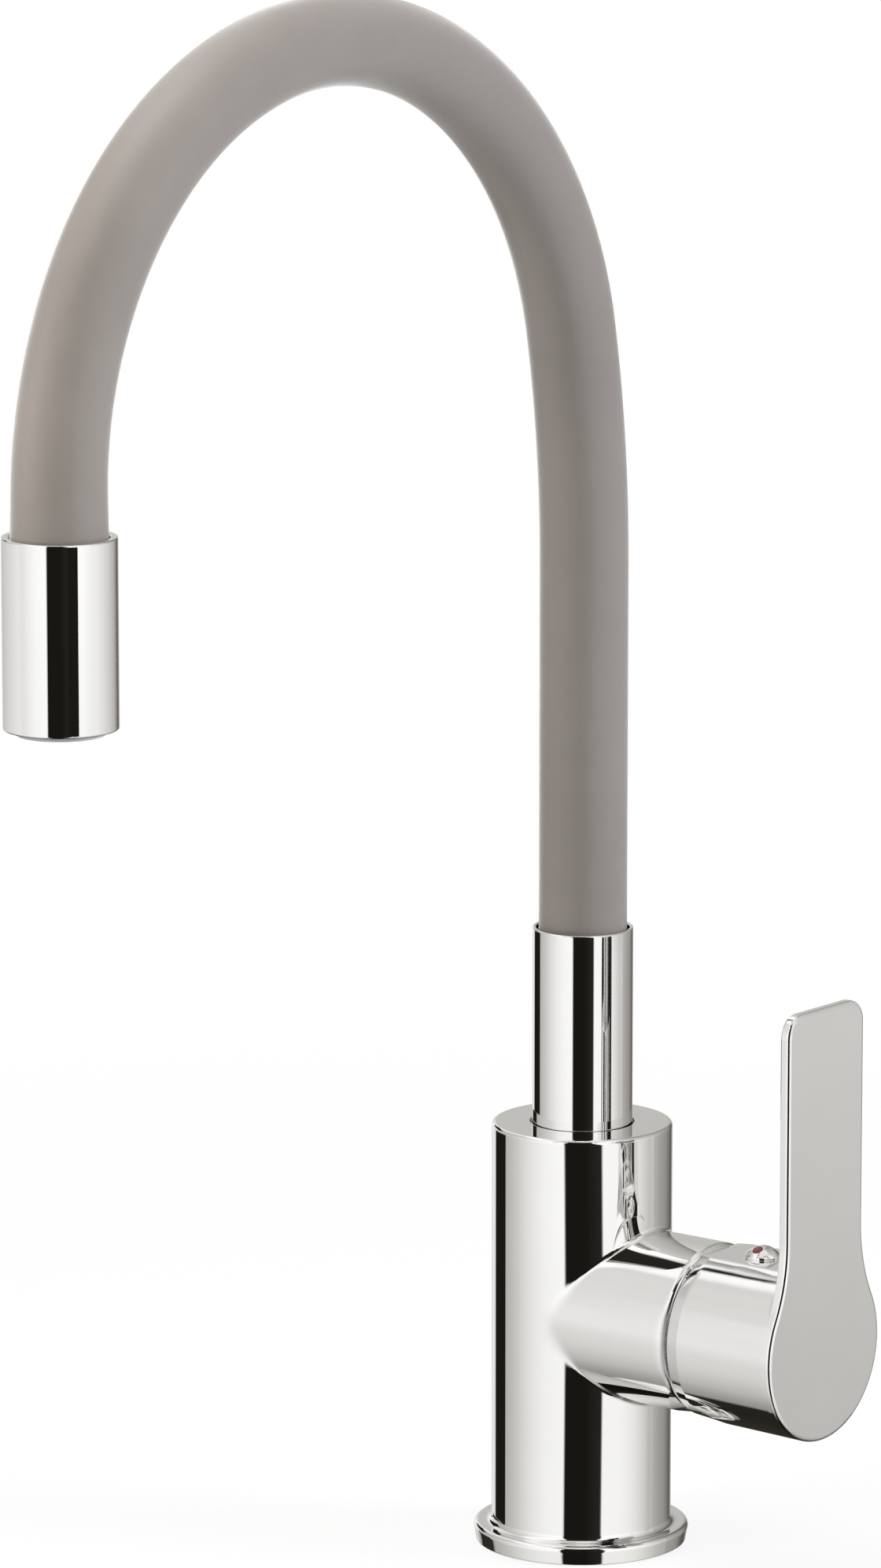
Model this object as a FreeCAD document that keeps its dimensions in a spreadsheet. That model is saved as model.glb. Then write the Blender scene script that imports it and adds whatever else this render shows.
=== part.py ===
import FreeCAD, Part
import math
import os
import re
import Sketcher

Vector = FreeCAD.Vector

# A single-lever kitchen faucet with a bendable hose spout, in millimetres.
# The origin is the centre of the foot on the deck. +Z is up, the spout reaches along -Y at rest,
# and the lever's barrel points along +X.

# Sizes that are chosen
SIZES = {
    "running_gap": 0.05,
    "loose_gap": 0.3,
    # Side barrel for the cartridge, pared away under its end where the handle's lip swings by
    "spigot_height": 60.5,
    "spigot_radius": 21.6,
    "spigot_fillet": 1.2,
    "spigot_end_round": 1.7,
    "spigot_relief_length": 8.0,
    "spigot_relief_depth": 0.8,
    "spigot_relief_rise": 1.6,
    # Column and foot
    "column_step": 0.9,
    "column_round": 1.0,
    "flange_width": 4.6,
    "flange_height": 4.6,
    "flange_draft": 0.8,
    "flange_round": 1.2,
    "flange_fillet": 1.6,
    "gasket_edge": 2.3,
    "gasket_width": 4.0,
    "gasket_depth": 2.0,
    "stud_spacing": 26.0,
    "stud_radius": 4.0,
    "stud_depth": 14.0,
    "port_spacing": 16.0,
    "port_radius": 5.0,
    "port_depth": 13.0,
    # Waterways
    "riser_bore": 3.5,
    "outlet_bore": 2.8,
    "outlet_offset": 6.0,
    # Socket in the column's top, and what the spout turns on
    "socket_wall": 2.8,
    "socket_gap": 0.6,
    "socket_depth": 14.3,
    "bush_length": 9.0,
    "bush_cover": 2.3,
    "slip_ring_thickness": 1.5,
    "ring_thickness": 1.2,
    "ring_drop": 2.8,
    "ring_bite": 0.9,
    "ring_split": 3.0,
    # Spout sleeve and the nipple in its foot
    "sleeve_wall": 0.9,
    "sleeve_length": 62.25,
    "sleeve_round": 0.3,
    "nipple_shoulder": 1.65,
    "nipple_clearance": 2.0,
    "seal_lead": 1.0,
    "seal_groove": 1.8,
    "seal_pitch": 3.0,
    "seal_section": 0.8,
    "seal_depth": 1.7,
    "seal_land": 1.4,
    "collar_lift": 0.45,
    "cup_floor": 9.0,
    "cup_depth": 14.0,
    "barb_wall": 0.95,
    "barb_setback": 2.0,
    # Hose: a straight riser, a long easy lead-in bend, the arch, and a short straight drop to the head
    "hose_radius": 11.0,
    "cover_wall": 2.5,
    "core_wall": 2.2,
    "water_wall": 2.0,
    "spout_reach": 196.0,
    "spout_height": 396.0,
    "lead_radius": 310.0,
    "lead_angle": 11.0,
    "head_straight": 9.0,
    "collar_wall": 0.5,
    "lower_collar_setback": 6.8,
    "lower_collar_length": 20.0,
    "upper_collar_setback": 3.0,
    "upper_collar_length": 7.0,
    # Outlet head
    "head_wall": 1.8,
    "head_round": 0.4,
    "hose_depth": 12.0,
    "fitting_floor": 6.0,
    "fitting_lip": 3.55,
    # Aerator
    "aerator_wall": 1.55,
    "aerator_drop": 1.2,
    "aerator_shoulder": 1.0,
    "aerator_rim": 0.4,
    "aerator_sill_width": 0.8,
    "aerator_sill_height": 1.3,
    "aerator_seal_height": 2.0,
    "straightener_height": 4.4,
    "straightener_hole": 1.0,
    "straightener_pitch": 3.1,
    "screen_thickness": 0.4,
    "screen_spacing": 1.2,
    "mixing_space": 2.05,
    "regulator_height": 2.3,
    "regulator_hole": 0.9,
    "regulator_ring": 6.0,
    # Cartridge, stacked outwards along the barrel
    "cartridge_seat": 8.0,
    "cartridge_gap": 0.2,
    "nut_wall": 2.65,
    "nut_ledge": 1.45,
    "base_thickness": 4.5,
    "peg_radius": 2.0,
    "peg_length": 2.5,
    "peg_spacing": 24.0,
    "inlet_side": 6.3,
    "inlet_rise": 5.3,
    "outlet_drop": 3.5,
    "inlet_hole": 1.8,
    "outlet_hole": 2.4,
    "port_seal_radius": 3.5,
    "port_seal_thickness": 1.2,
    "disc_gap": 0.5,
    "disc_travel": 5.0,
    "fixed_disc_thickness": 3.0,
    "moving_disc_thickness": 3.0,
    "pocket_radius": 6.2,
    "pocket_drop": 2.6,
    "pocket_depth": 1.6,
    "carrier_thickness": 4.0,
    "drum_length": 10.65,
    "case_wall": 1.5,
    "case_lid": 2.8,
    "neck_radius": 12.5,
    "nut_length": 6.0,
    "nut_setback": 0.5,
    "nut_clearance": 0.7,
    "nut_hex_wall": 0.83,
    "nut_hex_height": 3.0,
    # Lever stem and its pin
    "pin_setback": 2.0,
    "pin_radius": 1.5,
    "pin_end_gap": 0.5,
    "ball_depth": 2.85,
    "stem_ball": 2.4,
    "stem_rod": 2.2,
    "stem_width": 9.0,
    "stem_height": 8.0,
    "stem_grip": 20.9,
    "slot_low": 8.0,
    "slot_high": 7.2,
    # Handle: a hollow hub with a flat on top and a paddle plate on its end
    "handle_gap": 0.6,
    "hub_length": 31.9,
    "hub_step": 0.7,
    "hub_taper": 0.5,
    "hub_wall": 1.9,
    "hub_lip": 0.65,
    "hub_strip_length": 3.2,
    "hub_strip_depth": 0.5,
    "hub_relief_length": 9.0,
    "hub_relief_depth": 0.8,
    "hub_relief_rise": 1.6,
    "hub_mouth_length": 3.0,
    "hub_flat_depth": 2.2,
    "hub_flat_wall": 2.4,
    "hub_flat_fillet": 2.5,
    "plate_thickness": 2.6,
    "plate_web": 0.9,
    "plate_round": 1.1,
    "paddle_width": 31.0,
    "paddle_rise": 85.8,
    "paddle_corner": 5.5,
    "paddle_flare": 40.0,
    "boss_radius": 9.0,
    "boss_setback": 6.9,
    "screw_setback": 12.9,
    "screw_radius": 2.5,
    "screw_length": 10.0,
    "screw_key": 1.4,
    "screw_post_wall": 2.5,
    "cap_radius": 4.5,
    "cap_rim": 0.5,
    "cap_crown": 2.3,
    "cap_stem_length": 4.5,
    "mark_radius": 1.3,
    "mark_offset": 2.1,
    "mark_depth": 0.4,
    "mark_proud": 0.05,
}

# Sizes that follow from those
FITTED = {
    # Across the barrel, the column and the foot
    "body_radius": "spigot_radius + column_step",
    "flange_radius": "body_radius + flange_width",
    "gasket_outer": "flange_radius - flange_draft - gasket_edge",
    "gasket_inner": "gasket_outer - gasket_width",
    "nut_radius": "spigot_radius - nut_wall",
    "cartridge_radius": "nut_radius - nut_ledge",
    # Across the hose, from its skin inwards and outwards
    "cover_bore": "hose_radius - cover_wall",
    "core_bore": "cover_bore - running_gap - core_wall",
    "water_bore": "core_bore - running_gap - water_wall",
    "nipple_bore": "water_bore - running_gap - barb_wall",
    "sleeve_bore": "hose_radius + collar_wall + 2 * running_gap",
    "sleeve_radius": "sleeve_bore + sleeve_wall",
    "head_radius": "sleeve_bore + head_wall",
    "socket_radius": "sleeve_radius + socket_gap",
    "nipple_radius": "sleeve_bore - nipple_shoulder",
    "nipple_seat": "nipple_radius + running_gap",
    # Up the column, from the cartridge to the sleeve
    "socket_floor": "spigot_height + cartridge_radius + cartridge_gap + socket_wall",
    "nipple_foot": "socket_floor + nipple_clearance",
    "ring_foot": "nipple_foot + seal_lead + seal_pitch + seal_groove + seal_land",
    "socket_ledge": "ring_foot + ring_drop",
    "body_height": "socket_ledge + socket_depth",
    "sleeve_foot": "socket_ledge + slip_ring_thickness + running_gap",
    "sleeve_top": "sleeve_foot + sleeve_length",
    "nipple_collar": "sleeve_foot + collar_lift",
    "nipple_cup": "nipple_collar + cup_floor",
    "nipple_top": "nipple_cup + cup_depth",
    # Round the arch
    "arch_radius": "(spout_reach - lead_radius * (1 - cos(lead_angle * 1deg))) / (1 + cos(lead_angle * 1deg))",
    "arch_height": "spout_height - hose_radius - arch_radius",
    "bend_start": "arch_height + (arch_radius - lead_radius) * sin(lead_angle * 1deg)",
    # Down the head, from its top to the water
    "head_top": "arch_height - head_straight",
    "hose_end": "head_top - hose_depth",
    "fitting_cup": "hose_end - cup_depth",
    "fitting_foot": "fitting_cup - fitting_floor",
    "aerator_top": "fitting_foot - aerator_seal_height",
    "regulator_foot": "aerator_top - running_gap - regulator_height",
    "screen_foot": "regulator_foot - mixing_space - screen_thickness - screen_spacing",
    "straightener_foot": "screen_foot - straightener_height",
    "aerator_foot": "straightener_foot - aerator_sill_height",
    "head_foot": "aerator_foot + aerator_drop",
    "aerator_radius": "sleeve_bore - running_gap",
    "aerator_bore": "aerator_radius - aerator_wall",
    "fitting_mouth": "aerator_radius - fitting_lip",
    # Out along the barrel
    "fixed_disc_foot": "cartridge_seat + base_thickness",
    "moving_disc_foot": "fixed_disc_foot + fixed_disc_thickness + running_gap",
    "carrier_foot": "moving_disc_foot + moving_disc_thickness",
    "carrier_top": "carrier_foot + carrier_thickness",
    "case_bore": "cartridge_radius - case_wall",
    "fixed_disc_radius": "case_bore - disc_gap",
    "moving_disc_radius": "case_bore - disc_travel",
    "case_top": "carrier_top + drum_length + case_lid",
    "neck_top": "case_top + nut_length",
    "spigot_reach": "neck_top + nut_setback",
    "nut_hole": "neck_radius + nut_clearance",
    "nut_hex_radius": "(nut_hole + nut_hex_wall) / cos(30deg)",
    "pin_reach": "case_top - pin_setback",
    "pin_length": "2 * (neck_radius - pin_end_gap)",
    "ball_reach": "carrier_foot + ball_depth",
    # The handle
    "hub_rear": "spigot_reach + handle_gap",
    "handle_reach": "hub_rear + hub_length",
    "plate_back": "handle_reach - plate_thickness",
    "cavity_end": "plate_back - plate_web",
    "hub_rear_radius": "spigot_radius + hub_step",
    "hub_front_radius": "hub_rear_radius + hub_taper",
    "hub_cavity": "hub_rear_radius - hub_wall",
    "hub_mouth": "hub_rear_radius - hub_strip_depth - hub_lip",
    "hub_flat": "hub_front_radius - hub_flat_depth",
    "hub_ceiling": "hub_flat - hub_flat_wall",
    "boss_start": "hub_rear + boss_setback",
    "screw_reach": "hub_rear + screw_setback",
    "stem_end": "hub_rear + stem_grip",
    "cap_dome": "(cap_radius * cap_radius + cap_crown * cap_crown) / (2 * cap_crown)",
    "cap_dome_centre": "hub_flat + cap_rim + cap_crown - cap_dome",
}

doc = FreeCAD.newDocument("flexible_kitchen_faucet")
sheet = doc.addObject("Spreadsheet::Sheet", "sizes")
cells = {**SIZES, **{alias: "=" + rule for alias, rule in FITTED.items()}}
for row, (alias, value) in enumerate(cells.items(), start=1):
    sheet.set(f"A{row}", alias.replace("_", " "))
    sheet.set(f"B{row}", str(value))
    sheet.setAlias(f"B{row}", alias)
doc.recompute()

# Half turns and quarter turns that lay a piece's own Z axis along each main direction
ALONG = {
    "X": FreeCAD.Rotation(Vector(0, 1, 0), 90),
    "Y": FreeCAD.Rotation(Vector(1, 0, 0), -90),
    "Z": FreeCAD.Rotation(),
}
ORIGIN = ("0", "0", "0")
SIDES = (-1, 1)
CLOSE = 0.001


def formula(text):
    """Point each size named in a formula at its cell."""
    return re.sub(r"[a-z_]+", lambda word: "sizes." + word[0] if word[0] in cells else word[0], text)


def measure(text):
    """The number that a formula gives."""
    return float(sheet.evalExpression(formula(text)))


def bind(thing, **formulas):
    """Tie an object's properties to the sizes."""
    for name, text in formulas.items():
        thing.setExpression(name, formula(text))


def place(thing, at, along):
    """Stand an object at a point given by formulas, with its Z axis along a main direction."""
    thing.Placement = FreeCAD.Placement(Vector(), ALONG[along])
    for axis, text in zip("xyz", at):
        thing.setExpression(f".Placement.Base.{axis}", formula(text))


def cylinder(name, radius, length, at=ORIGIN, along="Z"):
    solid = doc.addObject("Part::Cylinder", name)
    bind(solid, Radius=radius, Height=length)
    place(solid, at, along)
    return solid


def cone(name, first_radius, last_radius, length, at=ORIGIN, along="Z"):
    solid = doc.addObject("Part::Cone", name)
    bind(solid, Radius1=first_radius, Radius2=last_radius, Height=length)
    place(solid, at, along)
    return solid


def block(name, lengths, at=ORIGIN):
    solid = doc.addObject("Part::Box", name)
    bind(solid, Length=lengths[0], Width=lengths[1], Height=lengths[2])
    place(solid, at, "Z")
    return solid


def ball(name, radius, at):
    solid = doc.addObject("Part::Sphere", name)
    bind(solid, Radius=radius)
    place(solid, at, "Z")
    return solid


def hexagon(name, radius, length, at=ORIGIN, along="Z"):
    solid = doc.addObject("Part::Prism", name)
    solid.Polygon = 6
    bind(solid, Circumradius=radius, Height=length)
    place(solid, at, along)
    return solid


def joined(name, *solids):
    result = doc.addObject("Part::MultiFuse", name)
    result.Shapes = list(solids)
    result.Refine = True
    return result


def shared(name, *solids):
    result = doc.addObject("Part::MultiCommon", name)
    result.Shapes = list(solids)
    return result


def grouped(name, *solids):
    result = doc.addObject("Part::Compound", name)
    result.Links = list(solids)
    return result


def carved(name, solid, *tools):
    result = doc.addObject("Part::Cut", name)
    result.Base = solid
    result.Tool = tools[0] if len(tools) == 1 else joined(name + "_tools", *tools)
    result.Refine = True
    return result


def tube(name, outer, inner, length, at=ORIGIN, along="Z"):
    skin = cylinder(name + "_outside", outer, length, at, along)
    hole = cylinder(name + "_bore", inner, length, at, along)
    return carved(name, skin, hole)


def softened(name, solid, radius, test):
    """Round the edges of a solid that pass a test."""
    doc.recompute()
    size = measure(radius)
    result = doc.addObject("Part::Fillet", name)
    result.Base = solid
    result.Edges = [(i, size, size) for i, edge in enumerate(solid.Shape.Edges, start=1) if test(edge)]
    return result


def turned(name, outline, at=ORIGIN, along="Z"):
    """A lathe-turned piece: a closed outline of (radius, height) corners swung round its own Z axis."""
    body = doc.addObject("PartDesign::Body", name)
    sketch = body.newObject("Sketcher::SketchObject", name + "_outline")
    plane = next(item for item in body.Origin.OriginFeatures if item.Role == "XZ_Plane")
    sketch.AttachmentSupport = (plane, [""])
    sketch.MapMode = "FlatFace"
    corners = [Vector(measure(radius), measure(height), 0) for radius, height in outline]
    for first, last in zip(corners, corners[1:] + corners[:1]):
        sketch.addGeometry(Part.LineSegment(first, last), False)
    for index, texts in enumerate(outline):
        following = (index + 1) % len(outline)
        sketch.addConstraint(Sketcher.Constraint("Coincident", index, 2, following, 1))
        for kind, axis, text in zip(("DistanceX", "DistanceY"), (-2, -1), texts):
            number = measure(text)
            if number == 0:
                sketch.addConstraint(Sketcher.Constraint("PointOnObject", index, 1, axis))
                continue
            rule = sketch.addConstraint(Sketcher.Constraint(kind, -1, 1, index, 1, number))
            sketch.renameConstraint(rule, f"{kind}{index}")
            sketch.setExpression(f"Constraints.{kind}{index}", formula(text))
    turn = body.newObject("PartDesign::Revolution", name + "_turn")
    turn.Profile = sketch
    turn.ReferenceAxis = (sketch, ["V_Axis"])
    turn.Angle = 360
    place(body, at, along)
    return body


def rounded(body, radius, *circles):
    """Round the circular edges of a turned piece, each given by the formulas of its radius and height."""
    doc.recompute()
    base = body.Tip
    wanted = [(measure(across), measure(height)) for across, height in circles]
    names = []
    for index, edge in enumerate(base.Shape.Edges, start=1):
        if not isinstance(edge.Curve, Part.Circle):
            continue
        found = (edge.Curve.Radius, edge.Curve.Center.z)
        if any(math.dist(found, circle) < CLOSE for circle in wanted):
            names.append(f"Edge{index}")
    fillet = body.newObject("PartDesign::Fillet", f"{body.Name}_round_{len(body.Group)}")
    fillet.Base = (base, names)
    bind(fillet, Radius=radius)
    body.Tip = fillet


def edge_points(edge, count=5):
    return [edge.valueAt(value) for value in
            (edge.FirstParameter + (edge.LastParameter - edge.FirstParameter) * step / (count - 1)
             for step in range(count))]


parts = []


def finish(part, label):
    part.Label = label
    parts.append(part)
    return part


def on_spigot(along, across="0", rise="0"):
    """A point of the barrel: how far out, how far to the side and how far above its axis."""
    return (along, across, f"spigot_height + {rise}")


def mixer_body():
    column = turned("column", [
        ("0", "0"),
        ("flange_radius - flange_draft", "0"),
        ("flange_radius", "flange_height"),
        ("body_radius", "flange_height"),
        ("body_radius", "body_height"),
        ("0", "body_height"),
    ])
    rounded(column, "flange_fillet", ("body_radius", "flange_height"))
    rounded(column, "flange_round", ("flange_radius", "flange_height"))
    rounded(column, "column_round", ("body_radius", "body_height"))
    barrel = turned("barrel", [
        ("0", "0"),
        ("spigot_radius", "0"),
        ("spigot_radius", "spigot_reach"),
        ("0", "spigot_reach"),
    ], on_spigot("0"), "X")
    rounded(barrel, "spigot_end_round", ("spigot_radius", "spigot_reach"))
    casting = joined("casting", column, barrel)

    def at_the_crossing(edge):
        axis = measure("spigot_height")
        return all(
            abs(math.hypot(p.x, p.y) - measure("body_radius")) < CLOSE
            and abs(math.hypot(p.y, p.z - axis) - measure("spigot_radius")) < CLOSE
            for p in edge_points(edge))

    blended = softened("blended_casting", casting, "spigot_fillet", at_the_crossing)

    tools = [
        cylinder("socket", "socket_radius", "body_height - socket_ledge", ("0", "0", "socket_ledge")),
        cylinder("nipple_seat", "nipple_seat", "socket_ledge - socket_floor", ("0", "0", "socket_floor")),
        cylinder("ring_groove", "nipple_seat + ring_bite", "ring_thickness + 2 * running_gap",
                 ("0", "0", "ring_foot - running_gap")),
        cylinder("cartridge_bore", "cartridge_radius + cartridge_gap", "spigot_reach - cartridge_seat",
                 on_spigot("cartridge_seat"), "X"),
        cylinder("nut_thread", "nut_radius + running_gap", "spigot_reach - case_top",
                 on_spigot("case_top"), "X"),
        tube("gasket_groove", "gasket_outer", "gasket_inner", "gasket_depth"),
        cylinder("outlet_channel", "outlet_hole", "cartridge_seat + outlet_offset",
                 on_spigot("-outlet_offset", "0", "-outlet_drop"), "X"),
        cylinder("outlet_riser", "outlet_bore", "socket_floor - spigot_height + outlet_drop",
                 on_spigot("-outlet_offset", "0", "-outlet_drop")),
    ]
    for side in SIDES:
        name = "left" if side < 0 else "right"
        port = f"{side} * port_spacing / 2"
        inlet = f"{side} * inlet_side"
        tools += [
            cylinder(f"{name}_port", "port_radius", "port_depth", ("0", port, "0")),
            cylinder(f"{name}_riser", "riser_bore", "spigot_height + inlet_rise", ("0", port, "0")),
            cylinder(f"{name}_inlet_channel", "inlet_hole", "cartridge_seat",
                     on_spigot("0", inlet, "inlet_rise"), "X"),
            cylinder(f"{name}_peg_hole", "peg_radius + running_gap", "peg_length + loose_gap",
                     on_spigot("cartridge_seat - peg_length - loose_gap", f"{side} * peg_spacing / 2"), "X"),
            cylinder(f"{name}_stud_hole", "stud_radius", "stud_depth", (f"{side} * stud_spacing / 2", "0", "0")),
        ]
    # The barrel's end is pared away below by a cone whose axis lies a little high, so the cut fades at the sides
    start = "spigot_reach - spigot_relief_length"
    widest = "(spigot_radius + spigot_relief_rise)"
    ring = cylinder("barrel_relief_ring", f"{widest} + spigot_relief_depth", "2 * spigot_relief_length",
                    on_spigot(start), "X")
    keep = cone("barrel_relief_cone", widest, f"{widest} - 2 * spigot_relief_depth",
                "2 * spigot_relief_length", on_spigot(start, "0", "spigot_relief_rise"), "X")
    tools.append(carved("barrel_relief", ring, keep))
    return finish(carved("body", blended, *tools), "mixer_body")


def foot_and_socket_pieces():
    finish(tube("gasket", "gasket_outer", "gasket_inner", "gasket_depth"), "base_gasket")
    finish(tube("bush", "socket_radius", "sleeve_radius + running_gap", "bush_length",
                ("0", "0", "body_height - bush_cover - bush_length")), "guide_bush")
    finish(tube("slip", "socket_radius", "nipple_radius + loose_gap", "slip_ring_thickness",
                ("0", "0", "socket_ledge")), "slip_ring")
    ring = tube("full_ring", "nipple_seat + ring_bite - running_gap", "nipple_radius - ring_bite + loose_gap",
                "ring_thickness", ("0", "0", "ring_foot"))
    split = block("ring_split_cut", ("2 * nipple_radius", "ring_split", "ring_thickness"),
                  ("0", "-ring_split / 2", "ring_foot"))
    finish(carved("split_ring", ring, split), "retaining_ring")


def seal_foot(index):
    return f"(nipple_foot + seal_lead + {index} * seal_pitch)"


def spout_foot_pieces():
    outline = [("nipple_bore", "nipple_foot"), ("nipple_radius", "nipple_foot")]
    grooves = [(seal_foot(index), "seal_groove", "seal_depth") for index in range(2)]
    grooves.append(("(ring_foot - running_gap)", "(ring_thickness + 2 * running_gap)", "ring_bite"))
    for foot, width, depth in grooves:
        outline += [
            ("nipple_radius", foot),
            (f"nipple_radius - {depth}", foot),
            (f"nipple_radius - {depth}", f"{foot} + {width}"),
            ("nipple_radius", f"{foot} + {width}"),
        ]
    outline += [
        ("nipple_radius", "nipple_collar"),
        ("sleeve_bore - running_gap", "nipple_collar"),
        ("sleeve_bore - running_gap", "nipple_top"),
        ("cover_bore", "nipple_top"),
        ("cover_bore", "nipple_cup"),
        ("water_bore - running_gap", "nipple_cup"),
        ("water_bore - running_gap", "nipple_top - barb_setback"),
        ("nipple_bore", "nipple_top - barb_setback"),
    ]
    finish(turned("nipple", outline), "spout_nipple")

    rings = []
    for index in range(2):
        ring = doc.addObject("Part::Torus", f"o_ring_{index}")
        bind(ring, Radius1="nipple_radius - seal_depth + seal_section + running_gap / 2", Radius2="seal_section")
        place(ring, ("0", "0", f"{seal_foot(index)} + seal_groove / 2"), "Z")
        rings.append(ring)
    finish(grouped("o_rings", *rings), "spout_o_rings")

    sleeve = turned("sleeve", [
        ("sleeve_bore", "sleeve_foot"),
        ("sleeve_radius", "sleeve_foot"),
        ("sleeve_radius", "sleeve_top"),
        ("sleeve_bore", "sleeve_top"),
    ])
    rounded(sleeve, "sleeve_round", ("sleeve_radius", "sleeve_top"), ("sleeve_bore", "sleeve_top"))
    finish(sleeve, "spout_sleeve")
    finish(tube("lower_collar", "sleeve_bore - running_gap", "hose_radius + running_gap",
                "lower_collar_length", ("0", "0", "sleeve_top - lower_collar_setback - lower_collar_length")),
           "lower_hose_collar")


# The spout's centre line: up the riser, round the lead-in bend, round the arch, and down into the head
LEAD_TURN = math.radians(measure("lead_angle"))
LEAD_RADIUS = measure("lead_radius")
REACH = measure("spout_reach")
ARCH_RADIUS = measure("arch_radius")
ARCH_CENTRE = Vector(0, ARCH_RADIUS - REACH, measure("arch_height"))
BEND_START = measure("bend_start")
LEAD_CENTRE = Vector(0, -LEAD_RADIUS, BEND_START)


def on_bend(centre, radius, turn):
    """A point of a bend in the spout's plane, by how far the line has turned from straight up."""
    return centre + Vector(0, math.cos(turn), math.sin(turn)) * radius


def spout_line(start, end_height):
    """The centre line from a height on the riser to a height above the outlet."""
    foot = Vector(0, 0, start)
    lead = [on_bend(LEAD_CENTRE, LEAD_RADIUS, LEAD_TURN * share) for share in (0, 0.5, 1)]
    halfway = (LEAD_TURN + math.pi) / 2
    arch = [on_bend(ARCH_CENTRE, ARCH_RADIUS, turn) for turn in (LEAD_TURN, halfway, math.pi)]
    end = Vector(0, -REACH, end_height)
    edges = [Part.Arc(*lead).toShape(), Part.Arc(*arch).toShape(), Part.LineSegment(arch[-1], end).toShape()]
    if start < BEND_START:
        edges.insert(0, Part.LineSegment(foot, lead[0]).toShape())
    return Part.Wire(edges)


def hose_layer(label, outer_rule, inner_rule, start_rule, end_rule):
    """One layer of the hose, swept along the spout's line."""
    outer, inner, start = measure(outer_rule), measure(inner_rule), measure(start_rule)
    line = spout_line(start, measure(end_rule))

    def swept(radius):
        ring = Part.Wire(Part.makeCircle(radius, Vector(0, 0, start)))
        return line.makePipeShell([ring], True, False)

    shape = swept(outer).cut(swept(inner))
    expected = math.pi * (outer ** 2 - inner ** 2) * line.Length
    if abs(shape.Volume / expected - 1) > CLOSE:
        raise ValueError(f"{label}: volume {shape.Volume:.0f} against {expected:.0f}")
    layer = doc.addObject("Part::Feature", label)
    layer.Shape = shape
    finish(layer, label)


def hose_pieces():
    riser = tube("riser", "hose_radius", "cover_bore", "bend_start - nipple_top", ("0", "0", "nipple_top"))
    finish(riser, "hose_riser")
    hose_layer("hose_arch", "hose_radius", "cover_bore", "bend_start", "hose_end")
    hose_layer("gooseneck_core", "cover_bore - running_gap", "core_bore", "nipple_cup", "fitting_cup")
    hose_layer("water_hose", "core_bore - running_gap", "water_bore", "nipple_cup", "fitting_cup")


def at_head(height):
    return ("0", "-spout_reach", height)


def head_pieces():
    shell = turned("shell", [
        ("sleeve_bore", "head_foot"),
        ("head_radius", "head_foot"),
        ("head_radius", "head_top"),
        ("sleeve_bore", "head_top"),
    ], at_head("0"))
    rounded(shell, "head_round", ("head_radius", "head_foot"), ("head_radius", "head_top"),
            ("sleeve_bore", "head_top"))
    finish(shell, "head_shell")
    fitting = turned("hose_end_fitting", [
        ("fitting_mouth", "fitting_foot"),
        ("aerator_radius", "fitting_foot"),
        ("aerator_radius", "hose_end"),
        ("cover_bore", "hose_end"),
        ("cover_bore", "fitting_cup"),
        ("water_bore - running_gap", "fitting_cup"),
        ("water_bore - running_gap", "hose_end - barb_setback"),
        ("nipple_bore", "hose_end - barb_setback"),
        ("nipple_bore", "fitting_foot + fitting_floor / 2"),
    ], at_head("0"))
    finish(fitting, "head_fitting")
    finish(tube("upper_collar", "aerator_radius", "hose_radius + running_gap", "upper_collar_length",
                at_head("head_top - upper_collar_setback - upper_collar_length")), "upper_hose_collar")
    finish(tube("washer", "aerator_radius", "fitting_mouth", "aerator_seal_height",
                at_head("aerator_top")), "aerator_seal")
    housing = turned("housing", [
        ("aerator_bore - aerator_sill_width", "aerator_foot"),
        ("aerator_bore + aerator_rim", "aerator_foot"),
        ("aerator_bore + aerator_rim", "head_foot + aerator_shoulder"),
        ("aerator_radius", "head_foot + aerator_shoulder"),
        ("aerator_radius", "aerator_top"),
        ("aerator_bore", "aerator_top"),
        ("aerator_bore", "straightener_foot"),
        ("aerator_bore - aerator_sill_width", "straightener_foot"),
    ], at_head("0"))
    finish(housing, "aerator_housing")

    disc = cylinder("straightener_disc", "aerator_bore - running_gap", "straightener_height",
                    at_head("straightener_foot"))
    holes = []
    for ring, count in ((0, 1), (1, 6), (2, 12)):
        for step in range(count):
            turn = 360 * step / count
            holes.append(cylinder(
                f"straightener_hole_{ring}_{step}", "straightener_hole", "straightener_height",
                (f"{ring} * straightener_pitch * cos({turn} deg)",
                 f"{ring} * straightener_pitch * sin({turn} deg) - spout_reach", "straightener_foot")))
    finish(carved("straightener", disc, *holes), "aerator_core")
    screens = [
        cylinder(f"screen_{index}", "aerator_bore - running_gap", "screen_thickness",
                 at_head(f"screen_foot + {index} * screen_spacing"))
        for index in range(2)
    ]
    finish(grouped("screens", *screens), "aerator_screens")
    plug = cylinder("regulator_disc", "aerator_bore - running_gap", "regulator_height", at_head("regulator_foot"))
    jets = []
    for step in range(6):
        turn = 360 * step / 6
        jets.append(cylinder(
            f"regulator_jet_{step}", "regulator_hole", "regulator_height",
            (f"regulator_ring * cos({turn} deg)", f"regulator_ring * sin({turn} deg) - spout_reach",
             "regulator_foot")))
    finish(carved("regulator", plug, *jets), "flow_regulator")


def ports():
    """Side, rise and radius formulas of the two inlets and the outlet in the cartridge's discs."""
    return [
        ("left", "-inlet_side", "inlet_rise", "inlet_hole"),
        ("right", "inlet_side", "inlet_rise", "inlet_hole"),
        ("outlet", "0", "-outlet_drop", "outlet_hole"),
    ]


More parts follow.
